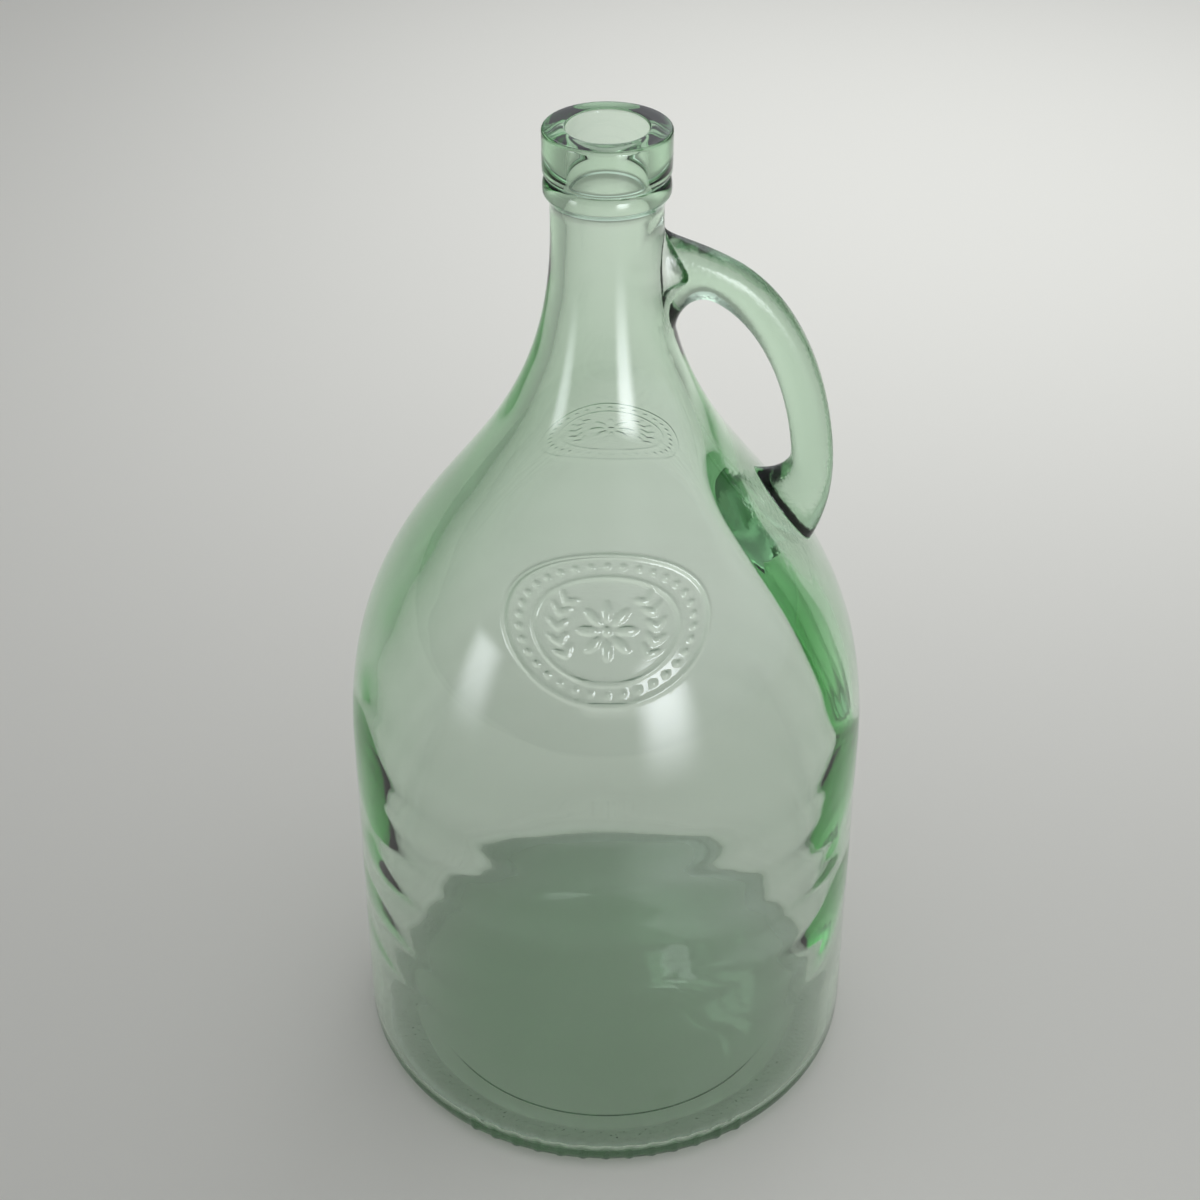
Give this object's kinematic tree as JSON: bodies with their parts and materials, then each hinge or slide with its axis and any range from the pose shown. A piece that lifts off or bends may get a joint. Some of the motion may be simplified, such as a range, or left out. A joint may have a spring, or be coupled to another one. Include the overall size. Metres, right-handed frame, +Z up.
{
  "type": "demijohn",
  "caption": "Pale green moulded glass demijohn with a straight barrel, domed shoulder, slim neck, ringed lip and a loop handle, for keeping and pouring wine.",
  "frame": {"origin": "on the jug's axis, at the level of the standing ring", "axes": "+Z up along the jug's axis, +X towards the handle, -Y towards the front face with the oval ornament"},
  "size_m": [0.169, 0.169, 0.332],
  "materials": {
    "pale_green_glass": "moulded soda-lime glass, glossy"
  },
  "bodies": {
    "root": {"base": "pale_green_glass", "body_wall": "pale_green_glass", "shoulder": "pale_green_glass", "neck": "pale_green_glass", "transfer_bead": "pale_green_glass", "lip_collar": "pale_green_glass", "handle": "pale_green_glass"}
  },
  "joints": []
}
